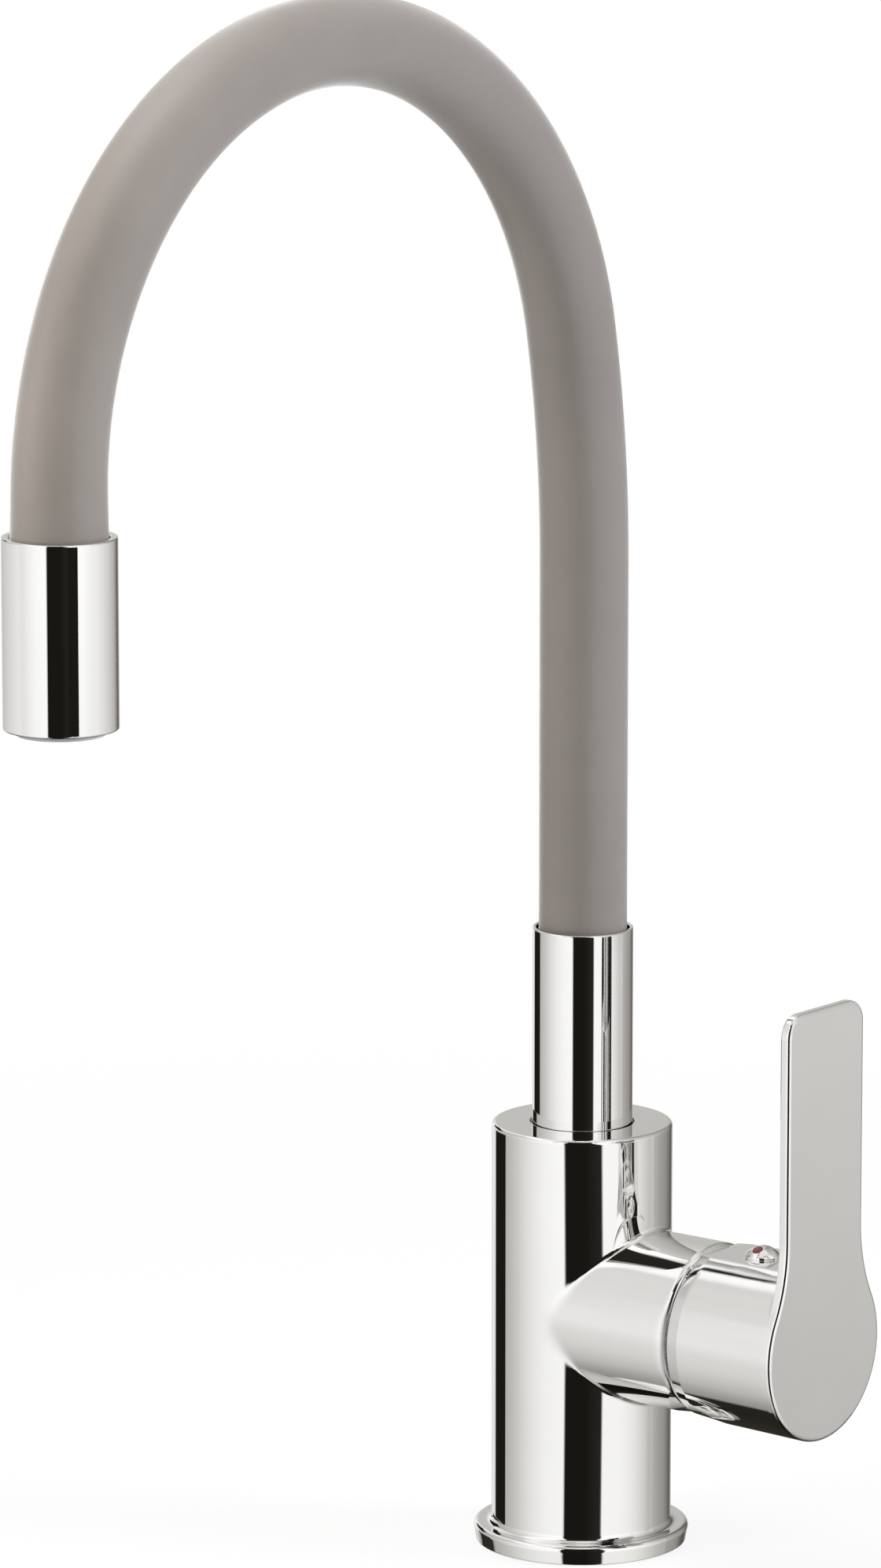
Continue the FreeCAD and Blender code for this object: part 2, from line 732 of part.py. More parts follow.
def cartridge_fixed_pieces():
    plate = cylinder("base_plate", "cartridge_radius", "base_thickness", on_spigot("cartridge_seat"), "X")
    pegs = [
        cylinder(f"peg_{side + 1}", "peg_radius", "peg_length + base_thickness / 2",
                 on_spigot("cartridge_seat - peg_length", f"{side} * peg_spacing / 2"), "X")
        for side in SIDES
    ]
    holes = []
    seals = []
    disc_holes = []
    for name, side, rise, radius in ports():
        foot = on_spigot("cartridge_seat", side, rise)
        holes.append(cylinder(f"base_{name}_hole", radius, "base_thickness", foot, "X"))
        holes.append(cylinder(f"base_{name}_groove", "port_seal_radius", "port_seal_thickness", foot, "X"))
        seals.append(tube(f"{name}_seal", "port_seal_radius", radius, "port_seal_thickness", foot, "X"))
        disc_holes.append(cylinder(f"disc_{name}_hole", radius, "fixed_disc_thickness",
                                   on_spigot("fixed_disc_foot", side, rise), "X"))
    finish(carved("valve_base", joined("base_with_pegs", plate, *pegs), *holes), "cartridge_base")
    finish(grouped("seals", *seals), "port_seals")
    disc = cylinder("lower_disc", "fixed_disc_radius", "fixed_disc_thickness", on_spigot("fixed_disc_foot"), "X")
    finish(carved("ported_disc", disc, *disc_holes), "fixed_disc")
    finish(turned("case", [
        ("case_bore", "fixed_disc_foot"),
        ("cartridge_radius", "fixed_disc_foot"),
        ("cartridge_radius", "case_top"),
        ("neck_radius + running_gap", "case_top"),
        ("neck_radius + running_gap", "case_top - case_lid"),
        ("case_bore", "case_top - case_lid"),
    ], on_spigot("0"), "X"), "cartridge_case")
    thread = cylinder("nut_ring", "nut_radius", "neck_top - case_top", on_spigot("case_top"), "X")
    head = hexagon("nut_hex", "nut_hex_radius", "nut_hex_height", on_spigot("neck_top"), "X")
    hole = cylinder("nut_hole_cut", "nut_hole", "neck_top - case_top + nut_hex_height", on_spigot("case_top"), "X")
    finish(carved("nut", joined("solid_nut", thread, head), hole), "clamp_nut")


def sliding_disc_pieces():
    disc = cylinder("upper_disc", "moving_disc_radius", "moving_disc_thickness", on_spigot("moving_disc_foot"), "X")
    pocket = cylinder("mixing_pocket", "pocket_radius", "pocket_depth",
                      on_spigot("moving_disc_foot", "0", "-pocket_drop"), "X")
    finish(carved("pocketed_disc", disc, pocket), "moving_disc")
    carrier = cylinder("carrier_disc", "moving_disc_radius", "carrier_thickness", on_spigot("carrier_foot"), "X")
    socket = cylinder("ball_socket", "stem_ball + loose_gap", "carrier_thickness",
                      on_spigot("carrier_foot + running_gap + loose_gap"), "X")
    finish(carved("socketed_carrier", carrier, socket), "disc_carrier")


def rotor_pieces():
    rail_foot = "(fixed_disc_foot + fixed_disc_thickness + loose_gap)"
    shoulder = "(case_top - case_lid - running_gap)"
    drum = cylinder("drum", "case_bore - running_gap", f"{shoulder} - {rail_foot}", on_spigot(rail_foot), "X")
    neck = cylinder("neck", "neck_radius", f"neck_top - {shoulder}", on_spigot(shoulder), "X")
    way_width = "(2 * moving_disc_radius + 2 * loose_gap)"
    way = block("slide_way", (f"carrier_top + loose_gap - {rail_foot}", way_width, "2 * cartridge_radius"),
                on_spigot(rail_foot, f"-{way_width} / 2", "-cartridge_radius"))
    slot_width = "(stem_width + 2 * loose_gap)"
    slot = block("stem_slot", ("neck_top - carrier_top", slot_width, "slot_low + slot_high"),
                 on_spigot("carrier_top", f"-{slot_width} / 2", "-slot_low"))
    pin_hole = cylinder("rotor_pin_hole", "pin_radius", "2 * neck_radius",
                        on_spigot("pin_reach", "-neck_radius"), "Y")
    finish(carved("spindle", joined("solid_rotor", drum, neck), way, slot, pin_hole), "rotor")
    finish(cylinder("pin", "pin_radius", "pin_length", on_spigot("pin_reach", "-pin_length / 2"), "Y"), "pivot_pin")


def lever_stem():
    inner_end = ball("stem_ball_end", "stem_ball", on_spigot("ball_reach"))
    rod = cylinder("stem_inner_rod", "stem_rod", "pin_reach - ball_reach", on_spigot("ball_reach"), "X")
    bar = block("stem_bar", ("stem_end - pin_reach + stem_height / 2", "stem_width", "stem_height"),
                on_spigot("pin_reach - stem_height / 2", "-stem_width / 2", "-stem_height / 2"))
    hole = cylinder("stem_pin_hole", "pin_radius + running_gap", "stem_width",
                    on_spigot("pin_reach", "-stem_width / 2"), "Y")
    finish(carved("stem", joined("solid_stem", inner_end, rod, bar), hole), "lever_stem")


def paddle_plate():
    disc = cylinder("plate_disc", "hub_front_radius", "plate_thickness", on_spigot("plate_back"), "X")
    paddle = block("plate_paddle", ("plate_thickness", "paddle_width", "paddle_rise"),
                   on_spigot("plate_back", "-paddle_width / 2"))
    blank = joined("plate_blank", disc, paddle)
    half = measure("paddle_width") / 2
    top = measure("spigot_height + paddle_rise")

    def across_the_plate(edge):
        return abs(edge.Length - measure("plate_thickness")) < CLOSE

    def at_a_shoulder(edge):
        return across_the_plate(edge) and all(
            abs(abs(p.y) - half) < CLOSE and abs(p.z - top) > CLOSE for p in edge_points(edge))

    def at_a_corner(edge):
        return across_the_plate(edge) and all(
            abs(abs(p.y) - half) < CLOSE and abs(p.z - top) < CLOSE for p in edge_points(edge))

    flared = softened("flared_plate", blank, "paddle_flare", at_a_shoulder)
    return softened("lever_plate", flared, "paddle_corner", at_a_corner)


def handle_pieces():
    hub = turned("hub", [
        ("0", "hub_rear"),
        ("hub_rear_radius - hub_strip_depth", "hub_rear"),
        ("hub_rear_radius", "hub_rear + hub_strip_length"),
        ("hub_front_radius", "plate_back"),
        ("0", "plate_back"),
    ], on_spigot("0"), "X")

    # The flat on top runs out into the plate in a hollow curve
    flat_length = "(plate_back - hub_rear)"
    waste = block("flat_waste", (flat_length, "2 * hub_front_radius", "hub_front_radius"),
                  on_spigot("hub_rear", "-hub_front_radius", "hub_flat"))
    far_end = measure("plate_back")
    floor = measure("spigot_height + hub_flat")

    def at_the_plate(edge):
        return all(abs(p.x - far_end) < CLOSE and abs(p.z - floor) < CLOSE for p in edge_points(edge))

    flat_cut = softened("flat_cut", waste, "hub_flat_fillet", at_the_plate)

    # The lip under the hub's rear is pared down by a cone set a little high, as on the barrel
    start = "hub_rear - hub_relief_length"
    middle = "(hub_rear_radius + hub_relief_rise - hub_relief_depth)"
    ring = cylinder("hub_relief_ring", f"{middle} + 3 * hub_relief_depth", "3 * hub_relief_length",
                    on_spigot(start), "X")
    keep = cone("hub_relief_cone", f"{middle} - hub_relief_depth", f"{middle} + 2 * hub_relief_depth",
                "3 * hub_relief_length", on_spigot(start, "0", "hub_relief_rise"), "X")
    relief = carved("hub_relief", ring, keep)
    shaped = joined("hub_and_plate", carved("shaped_hub", hub, flat_cut, relief), paddle_plate())
    face = measure("handle_reach")

    def on_the_face(edge):
        return all(abs(p.x - face) < CLOSE for p in edge_points(edge))

    outside = softened("handle_outside", shaped, "plate_round", on_the_face)

    # Inside: a round cavity with a flat ceiling and a flared mouth that clears the barrel when the lever tilts,
    # a boss on the stem, and a post for the screw
    cavity_length = "(cavity_end - hub_rear)"
    bore = cylinder("hub_bore", "hub_cavity", cavity_length, on_spigot("hub_rear"), "X")
    mouth = cone("hub_mouth_flare", "hub_mouth", "hub_cavity", "hub_mouth_length",
                 on_spigot("hub_rear"), "X")
    under = block("under_ceiling", (cavity_length, "2 * hub_mouth", "hub_mouth + hub_ceiling"),
                  on_spigot("hub_rear", "-hub_mouth", "-hub_mouth"))
    boss = cylinder("stem_boss", "boss_radius", "cavity_end - boss_start", on_spigot("boss_start"), "X")
    post = cylinder("screw_post", "screw_radius + screw_post_wall", "hub_ceiling", on_spigot("screw_reach"))
    cavity = carved("cavity", shared("ceilinged_bore", joined("flared_bore", bore, mouth), under), boss, post)
    socket_width = "(stem_width + 2 * running_gap)"
    socket_height = "(stem_height + 2 * running_gap)"
    socket = block("stem_socket", ("stem_end + running_gap - boss_start", socket_width, socket_height),
                   on_spigot("boss_start", f"-{socket_width} / 2", f"-{socket_height} / 2"))
    screw_hole = cylinder("screw_hole", "screw_radius", "hub_flat", on_spigot("screw_reach"))
    finish(carved("lever", outside, cavity, socket, screw_hole), "handle")

    screw_foot = "stem_height / 2"
    grub = cylinder("grub", "screw_radius", "screw_length", on_spigot("screw_reach", "0", screw_foot))
    key = hexagon("grub_key", "screw_key", "screw_length / 2",
                  on_spigot("screw_reach", "0", f"{screw_foot} + screw_length / 2"))
    finish(carved("keyed_grub", grub, key), "set_screw")

    cap_pieces()


def cap_pieces():
    """A domed plug over the screw, with a coloured mark let into its slope on the hot and the cold side."""
    def dome(name, allowance):
        return ball(name, f"cap_dome + {allowance}", on_spigot("screw_reach", "0", "cap_dome_centre"))

    button = cylinder("cap_button", "cap_radius", "cap_rim + cap_crown", on_spigot("screw_reach", "0", "hub_flat"))
    stem = cylinder("cap_stem", "screw_radius", "cap_stem_length",
                    on_spigot("screw_reach", "0", "hub_flat - cap_stem_length"))
    plug = joined("cap_plug", shared("cap_head", button, dome("cap_skin", "0")), stem)
    recesses = []
    for name, side in zip(("hot_mark", "cold_mark"), SIDES):
        way = cylinder(name + "_way", "mark_radius", "cap_rim + 2 * cap_crown",
                       on_spigot("screw_reach", f"{side} * mark_offset", "hub_flat"))
        recess = carved(name + "_recess", way, dome(name + "_floor", "-mark_depth"))
        recesses.append(recess)
        finish(shared(name + "_enamel", recess, dome(name + "_skin", "mark_proud")), name)
    finish(carved("marked_cap", plug, *recesses), "indicator_cap")


mixer_body()
foot_and_socket_pieces()
spout_foot_pieces()
hose_pieces()
head_pieces()
cartridge_fixed_pieces()
sliding_disc_pieces()
rotor_pieces()
lever_stem()
handle_pieces()
doc.recompute()

for thing in doc.Objects:
    if "Invalid" in thing.State or "Error" in thing.State:
        raise RuntimeError(f"{thing.Name} failed: {thing.State}")
for part in parts:
    if part.Shape.isNull() or not part.Shape.isValid() or not part.Shape.Solids:
        raise RuntimeError(f"{part.Label} has no valid solid")

os.makedirs("parts", exist_ok=True)
for part in parts:
    part.Shape.exportStep(f"parts/{part.Label}.step")
print(f"{len(parts)} pieces, arch radius {ARCH_RADIUS:.2f}, bend starts at {BEND_START:.2f}")
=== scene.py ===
"""A deck-mounted kitchen mixer with a bendable silicone spout, in a white studio."""

import math

import bmesh
import bpy
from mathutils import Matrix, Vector


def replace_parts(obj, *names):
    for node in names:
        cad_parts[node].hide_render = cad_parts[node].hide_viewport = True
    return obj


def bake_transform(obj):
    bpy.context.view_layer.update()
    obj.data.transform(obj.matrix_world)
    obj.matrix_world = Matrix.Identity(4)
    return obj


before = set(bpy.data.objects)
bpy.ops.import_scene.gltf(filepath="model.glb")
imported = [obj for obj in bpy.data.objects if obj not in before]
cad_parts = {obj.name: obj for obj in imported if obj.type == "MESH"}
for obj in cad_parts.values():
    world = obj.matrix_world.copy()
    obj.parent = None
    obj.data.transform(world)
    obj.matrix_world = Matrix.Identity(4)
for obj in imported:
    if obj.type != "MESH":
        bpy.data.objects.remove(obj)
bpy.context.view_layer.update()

# The camera, in metres in the part's own frame; its lens and sensor are in millimetres
CAMERA_PLACE = Vector((1.24964, -1.62855, 0.59252))
CAMERA_LOOK = Vector((-0.610832, 0.768319, -0.191215))
CAMERA_TURN = math.atan2(CAMERA_PLACE.y, CAMERA_PLACE.x)
CAMERA_LENS = 194.17
CAMERA_SENSOR = 36.0
CAMERA_FAR = 60.0

# The spout's line, as on the solids: up the riser, a gentle lead, the arch, then straight down
REACH = 0.196
BEND_START = 0.24814
LEAD_RADIUS = 0.310
LEAD_TURN = math.radians(11.0)
ARCH_RADIUS = 0.09603
ARCH_CENTRE = Vector((0.0, -0.099966, 0.288966))

# The hose's layers: radii, bores, and the heights of their ends on the riser and on the drop
COVER_RADIUS = 0.01094
COVER_BORE = 0.0085
COVER_ENDS = (0.118, 0.268)
CORE_RADIUS = 0.0080
CORE_BORE = 0.00625
LINER_RADIUS = 0.0062
LINER_BORE = 0.0042
INNER_ENDS = (0.104, 0.2645)

# The cover's flare at the head: its height, the length that has it in full, and the length where it fades
FLARE = 0.00036
FLARE_FULL = 0.012
FLARE_FADE = 0.045

# The ridges wound round the core
RIDGE = 0.0004
RIDGE_PITCH = 0.004

# The body's polished edges: radius in general, and in the soft blend on the barrel's flanks.
# The blend fades in over these distances: to the side, from the barrel's height and out of the column.
BODY_EDGE = 0.0003
BODY_BLEND = 0.0045
BARREL_HEIGHT = 0.0605
FLANK = (0.010, 0.020)
LEVEL = (0.014, 0.005)
OUTWARD = (-0.004, 0.004)

# The lever's polished edges: radius in general, and along the hub's flat, which lies this high and far out
LEVER_EDGE = 0.0003
LEVER_ROUND = 0.0022
FLAT_HEIGHT = (0.070, 0.076)
HUB_END = (0.0730, 0.0710)

# Details of a moulded or machined surface's grain for each metre
GRAIN_SCALE = 900.0

# The floor: half its width, and how far it lies below the foot
FLOOR_HALF = 14.0
FLOOR_DROP = 0.0003


# Shader helpers


def material(name):
    """A new material with an empty node tree, that tree, and its output node."""
    made = bpy.data.materials.new(name)
    made.use_nodes = True
    tree = made.node_tree
    tree.nodes.clear()
    output = tree.nodes.new("ShaderNodeOutputMaterial")
    return made, tree, output


def node(tree, kind, links=None, **settings):
    """A shader node: settings that are its own properties are set there, the rest on its sockets."""
    made = tree.nodes.new("ShaderNode" + kind)
    for key, value in settings.items():
        if key in made.bl_rna.properties:
            setattr(made, key, value)
        else:
            made.inputs[key.replace("_", " ")].default_value = value
    for key, source in (links or {}).items():
        tree.links.new(source, made.inputs[key])
    return made


def noise(tree, where, scale, detail=3.0, roughness=0.55):
    made = node(tree, "TexNoise", {"Vector": where}, Scale=scale, Detail=detail, Roughness=roughness)
    return made.outputs["Fac"]


def ramp(tree, source, *stops):
    """A colour ramp through (place, colour) stops."""
    made = node(tree, "ValToRGB", {"Fac": source})
    elements = made.color_ramp.elements
    while len(elements) < len(stops):
        elements.new(0.5)
    for element, (place, colour) in zip(elements, stops):
        element.position = place
        element.color = (*colour, 1.0)
    return made.outputs["Color"]


def spread(tree, source, low, high, start=0.0, stop=1.0, **settings):
    """Low to high as the source goes from start to stop, and no further."""
    made = node(tree, "MapRange", {"Value": source}, **settings)
    for key, value in zip(("From Min", "From Max", "To Min", "To Max"), (start, stop, low, high)):
        made.inputs[key].default_value = value
    return made.outputs["Result"]


def smooth(tree, source, start, stop):
    """Nought to one with a soft start and stop."""
    return spread(tree, source, 0.0, 1.0, start, stop, interpolation_type="SMOOTHSTEP")


def maths(tree, operation, first, second=None):
    """One step of arithmetic on sockets or numbers."""
    made = node(tree, "Math", operation=operation)
    for index, value in enumerate((first, second)):
        if isinstance(value, bpy.types.NodeSocket):
            tree.links.new(value, made.inputs[index])
        elif value is not None:
            made.inputs[index].default_value = value
    return made.outputs["Value"]


def place_of(tree):
    """The point on the surface, in metres in the part's own frame."""
    return node(tree, "TexCoord").outputs["Object"]


# Finishes


def surface(name, pale, deep, mottle, rough, metal=0.0, grain=0.0):
    """A finish with mottled colour and uneven gloss, and a fine grain if it has a depth."""
    made, tree, output = material(name)
    where = place_of(tree)
    patches = noise(tree, where, mottle)
    fine = noise(tree, where, GRAIN_SCALE, detail=4.0)
    colour = ramp(tree, patches, (0.3, deep), (0.7, pale))
    gloss = spread(tree, fine, *rough, start=0.3, stop=0.7)
    links = {"Base Color": colour, "Roughness": gloss}
    if grain:
        bump = node(tree, "Bump", {"Height": fine}, Strength=0.4, Distance=grain)
        links["Normal"] = bump.outputs["Normal"]
    shader = node(tree, "BsdfPrincipled", links, Metallic=metal)
    tree.links.new(shader.outputs["BSDF"], output.inputs["Surface"])
    return made


def chrome(name, pale, deep, rough, edge_radius):
    """Mirror plating: a faint warm tint, a haze of wiping marks, a slow ripple and softly polished edges."""
    made, tree, output = material(name)
    where = place_of(tree)
    colour = ramp(tree, noise(tree, where, scale=38.0), (0.25, deep), (0.75, pale))
    haze = noise(tree, where, scale=120.0, detail=5.0, roughness=0.7)
    gloss = spread(tree, haze, *rough, start=0.35, stop=0.75)
    ripple = noise(tree, where, scale=45.0, detail=1.0)
    edges = node(tree, "Bevel", {"Radius": edge_radius(tree, where)}, samples=8)
    bump = node(tree, "Bump", {"Height": ripple, "Normal": edges.outputs["Normal"]},
                Strength=0.05, Distance=0.0002)
    shader = node(tree, "BsdfPrincipled", {"Base Color": colour, "Roughness": gloss,
                                           "Normal": bump.outputs["Normal"]}, Metallic=1.0)
    tree.links.new(shader.outputs["BSDF"], output.inputs["Surface"])
    return made


def body_edges(tree, where):
    """Barely broken edges, but a wide soft blend where the barrel's flanks run out of the column."""
    axes = node(tree, "SeparateXYZ", {"Vector": where})
    flank = smooth(tree, maths(tree, "ABSOLUTE", axes.outputs["Y"]), *FLANK)
    height = maths(tree, "ABSOLUTE", maths(tree, "SUBTRACT", axes.outputs["Z"], BARREL_HEIGHT))
    level = smooth(tree, height, *LEVEL)
    outward = smooth(tree, axes.outputs["X"], *OUTWARD)
    share = maths(tree, "MULTIPLY", maths(tree, "MULTIPLY", flank, level), outward)
    return spread(tree, share, BODY_EDGE, BODY_BLEND)


def lever_edges(tree, where):
    """A broad round along the hub's flat, and barely broken edges elsewhere."""
    axes = node(tree, "SeparateXYZ", {"Vector": where})
    top = smooth(tree, axes.outputs["Z"], *FLAT_HEIGHT)
    hub = smooth(tree, axes.outputs["X"], *HUB_END)
    return spread(tree, maths(tree, "MULTIPLY", top, hub), LEVER_EDGE, LEVER_ROUND)


def silicone(name):
    """Warm grey moulded rubber: soft sheen, clouded tone, and a few specks of lint."""
    made, tree, output = material(name)
    where = place_of(tree)
    clouds = noise(tree, where, scale=22.0, detail=4.0)
    tone = ramp(tree, clouds, (0.3, (0.199, 0.178, 0.165)), (0.7, (0.229, 0.205, 0.189)))
    specks = node(tree, "TexVoronoi", {"Vector": where}, Scale=160.0)
    lint = spread(tree, specks.outputs["Distance"], 1.0, 0.0, start=0.02, stop=0.05)
    sparse = noise(tree, where, scale=300.0, detail=1.0)
    kept = spread(tree, sparse, 0.0, 1.0, start=0.66, stop=0.70)
    shown = maths(tree, "MULTIPLY", lint, kept)
    speckled = node(tree, "MixRGB", {"Fac": shown, "Color1": tone}, Color2=(0.42, 0.40, 0.38, 1.0))
    matte = noise(tree, where, scale=420.0, detail=4.0)
    gloss = spread(tree, matte, 0.36, 0.48, start=0.3, stop=0.7)
    bump = node(tree, "Bump", {"Height": matte}, Strength=0.05, Distance=0.00008)
    shader = node(tree, "BsdfPrincipled", {"Base Color": speckled.outputs["Color"], "Roughness": gloss,
                                           "Normal": bump.outputs["Normal"]},
                  IOR=1.50, Sheen_Weight=0.90, Sheen_Roughness=0.30)
    tree.links.new(shader.outputs["BSDF"], output.inputs["Surface"])
    return made


# One finish for each of the record's material slots
FINISHES = {
    "chrome": chrome("polished_chrome", pale=(0.93, 0.925, 0.915), deep=(0.90, 0.895, 0.885),
                     rough=(0.015, 0.05), edge_radius=body_edges),
    "chrome_zinc": chrome("polished_lever_chrome", pale=(0.94, 0.935, 0.925), deep=(0.91, 0.905, 0.895),
                          rough=(0.03, 0.08), edge_radius=lever_edges),
    "brass": surface("turned_brass", pale=(0.80, 0.60, 0.30), deep=(0.70, 0.50, 0.24), mottle=60.0,
                     rough=(0.22, 0.38), metal=1.0, grain=0.00003),
    "steel": surface("drawn_steel", pale=(0.62, 0.62, 0.61), deep=(0.52, 0.52, 0.51), mottle=80.0,
                     rough=(0.25, 0.40), metal=1.0, grain=0.00003),
    "grey_plastic": surface("grey_moulding", pale=(0.46, 0.46, 0.46), deep=(0.40, 0.40, 0.405), mottle=45.0,
                            rough=(0.38, 0.52), grain=0.00004),
    "white_plastic": surface("white_moulding", pale=(0.80, 0.80, 0.78), deep=(0.74, 0.74, 0.72), mottle=45.0,
                             rough=(0.35, 0.50), grain=0.00004),
    "rubber": surface("black_rubber", pale=(0.035, 0.035, 0.036), deep=(0.022, 0.022, 0.023), mottle=70.0,
                      rough=(0.55, 0.75), grain=0.00006),
    "water_hose": surface("hose_liner", pale=(0.62, 0.64, 0.66), deep=(0.54, 0.56, 0.58), mottle=50.0,
                          rough=(0.30, 0.45), grain=0.00004),
    "ceramic": surface("ground_ceramic", pale=(0.86, 0.85, 0.82), deep=(0.81, 0.80, 0.77), mottle=90.0,
                       rough=(0.12, 0.25), grain=0.00001),
    "red_enamel": surface("red_enamel", pale=(0.19, 0.030, 0.028), deep=(0.14, 0.021, 0.020), mottle=700.0,
                          rough=(0.12, 0.22)),
    "blue_enamel": surface("blue_enamel", pale=(0.035, 0.07, 0.25), deep=(0.022, 0.045, 0.18), mottle=700.0,
                           rough=(0.12, 0.22)),
    "silicone": silicone("grey_silicone"),
}

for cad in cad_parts.values():
    slot = cad.data.materials[0].name.split(".")[0]
    cad.material_slots[0].material = FINISHES[slot]


# The hose


def line_points(start, end, step):
    """Points and directions along the spout's line, from a height on the riser to one on the drop."""
    points = []
    up = BEND_START - start
    count = max(2, round(up / step))
    for i in range(count):
        points.append((Vector((0, 0, start + up * i / count)), Vector((0, 0, 1))))
    lead_centre = Vector((0, -LEAD_RADIUS, BEND_START))
    for centre, radius, first, last in (
            (lead_centre, LEAD_RADIUS, 0.0, LEAD_TURN), (ARCH_CENTRE, ARCH_RADIUS, LEAD_TURN, math.pi)):
        count = round(radius * (last - first) / step)
        for i in range(count):
            turn = first + (last - first) * i / count
            spoke = Vector((0, math.cos(turn), math.sin(turn)))
            points.append((centre + spoke * radius, Vector((0, -math.sin(turn), math.cos(turn)))))
    drop = ARCH_CENTRE.z - end
    count = max(2, round(drop / step))
    for i in range(count + 1):
        points.append((Vector((0, -REACH, ARCH_CENTRE.z - drop * i / count)), Vector((0, 0, -1))))
    return points


def skinned(name, outer, inner, finish):
    """A closed tube through rings of points on its skin and in its bore, smooth but for its end edges."""
    mesh = bmesh.new()
    rows = [[mesh.verts.new(p) for p in ring] for ring in outer + inner[::-1]]
    for low, high in zip(rows, rows[1:] + rows[:1]):
        for i in range(len(low)):
            mesh.faces.new((low[i - 1], low[i], high[i], high[i - 1])).smooth = True
    for row in (rows[0], rows[len(outer) - 1], rows[len(outer)], rows[-1]):
        for i in range(len(row)):
            mesh.edges.get((row[i - 1], row[i])).smooth = False
    bmesh.ops.recalc_face_normals(mesh, faces=mesh.faces)
    data = bpy.data.meshes.new(name)
    mesh.to_mesh(data)
    mesh.free()
    made = bpy.data.objects.new(name, data)
    bpy.context.collection.objects.link(made)
    data.materials.append(finish)
    return made


def hose(name, ends, radius_at, bore, sides, step, finish):
    """A tube along the spout's line whose outer radius may vary with the length run."""
    points = line_points(*ends, step)
    total = sum((b[0] - a[0]).length for a, b in zip(points, points[1:]))
    turns = [2 * math.pi * k / sides for k in range(sides)]
    side = Vector((1, 0, 0))
    run = 0.0
    last = points[0][0]
    outer = []
    inner = []
    for centre, along in points:
        run += (centre - last).length
        last = centre
        out = side.cross(along)
        spokes = [side * math.cos(turn) + out * math.sin(turn) for turn in turns]
        radius = radius_at(run, total)
        outer.append([centre + spoke * radius for spoke in spokes])
        inner.append([centre + spoke * bore for spoke in spokes])
    return skinned(name, outer, inner, finish)


def bends(piece):
    """The piece, with its placing moved into its mesh."""
    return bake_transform(piece)


def cover_radius(run, total):
    """The cover swells a little where the head's fitting spreads it."""
    near = max(0.0, 1.0 - (total - run - FLARE_FULL) / FLARE_FADE)
    return COVER_RADIUS + FLARE * min(1.0, near) ** 2


def core_radius(run, total):
    """The strip-wound core: a ridge every few millimetres."""
    return CORE_RADIUS + RIDGE * (0.5 + 0.5 * math.cos(2 * math.pi * run / RIDGE_PITCH))


def liner_radius(run, total):
    """The liner is plain."""
    return LINER_RADIUS


cover = hose("hose_cover", COVER_ENDS, cover_radius, COVER_BORE, sides=88, step=0.0028,
             finish=FINISHES["silicone"])
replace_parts(bends(cover), "hose_riser", "hose_arch")
core = hose("hose_core", INNER_ENDS, core_radius, CORE_BORE, sides=40, step=0.001,
            finish=FINISHES["steel"])
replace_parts(bends(core), "gooseneck_core")
liner = hose("hose_liner", INNER_ENDS, liner_radius, LINER_BORE, sides=32, step=0.003,
             finish=FINISHES["water_hose"])
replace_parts(bends(liner), "water_hose")


# Cards that only mirror surfaces see


def polar(turn, distance, height=0.0):
    """A point round the tap's axis: turn in degrees from the camera's side, positive to its right."""
    a = math.radians(turn) + CAMERA_TURN
    return Vector((distance * math.cos(a), distance * math.sin(a), height))


def warm_grey(v):
    """The studio's white, dimmed: a little warmer as it darkens."""
    return (v, v ** 1.03, v ** 1.08)


def card_finish(name, along, stops, soft):
    """A card's own glow, by (place, brightness) stops along one of its axes, faded out at its soft edges."""
    made, tree, output = material(name)
    axes = node(tree, "SeparateXYZ", {"Vector": node(tree, "TexCoord").outputs["Generated"]})
    colour = ramp(tree, axes.outputs[along], *((place, warm_grey(v)) for place, v in stops))
    glow = node(tree, "Emission", {"Color": colour}, Strength=1.0)
    share = 1.0
    for axis, (low, high) in soft.items():
        for edge, inner in ((0.0, low), (1.0, 1.0 - high)):
            share = maths(tree, "MULTIPLY", smooth(tree, axes.outputs[axis], edge, inner), share)
    clear = node(tree, "BsdfTransparent")
    shown = node(tree, "MixShader", {0: share, 1: clear.outputs["BSDF"], 2: glow.outputs["Emission"]})
    tree.links.new(shown.outputs["Shader"], output.inputs["Surface"])
    return made


def standing(name, middle, turn, distance, width, bottom, top, finish):
    """A card on end that faces a point, at a turn and a distance from it, and shows only in reflections."""
    centre = Vector(middle) + polar(turn, distance)
    across = polar(turn + 90, 0.5 * width)
    low = Vector((0, 0, bottom))
    high = Vector((0, 0, top))
    corners = (centre - across + low, centre + across + low, centre + across + high, centre - across + high)
    data = bpy.data.meshes.new(name)
    data.from_pydata([tuple(corner) for corner in corners], [], [(0, 1, 2, 3)])
    data.materials.append(finish)
    made = bpy.data.objects.new(name, data)
    bpy.context.collection.objects.link(made)
    for kind in ("camera", "diffuse", "shadow", "transmission", "volume_scatter"):
        setattr(made, "visible_" + kind, False)


HEAD_PLACE = (0, -REACH, 0)
LEVER_PLACE = (0.075, 0, 0)
# The head's cards fade from the camera's side to the back, as the soft boxes do
left_glow = card_finish("left_glow", along="X",
                        stops=((0.0, 0.53), (0.25, 0.63), (0.5, 0.74), (0.75, 0.855), (1.0, 0.92)),
                        soft={"X": (0.01, 0.25), "Z": (0.2, 0.2)})
right_glow = card_finish("right_glow", along="X",
                         stops=((0.0, 0.24), (0.25, 0.50), (0.5, 0.72), (0.75, 0.90), (1.0, 1.0)),
                         soft={"X": (0.01, 0.2), "Z": (0.2, 0.2)})
lever_glow = card_finish("lever_glow", along="Z", stops=((0.0, 0.47), (1.0, 0.70)),
                         soft={"X": (0.25, 0.25), "Z": (0.25, 0.25)})
no_glow = card_finish("no_glow", along="Z", stops=((0.0, 0.012), (1.0, 0.012)),
                      soft={"X": (0.02, 0.02), "Z": (0.2, 0.2)})
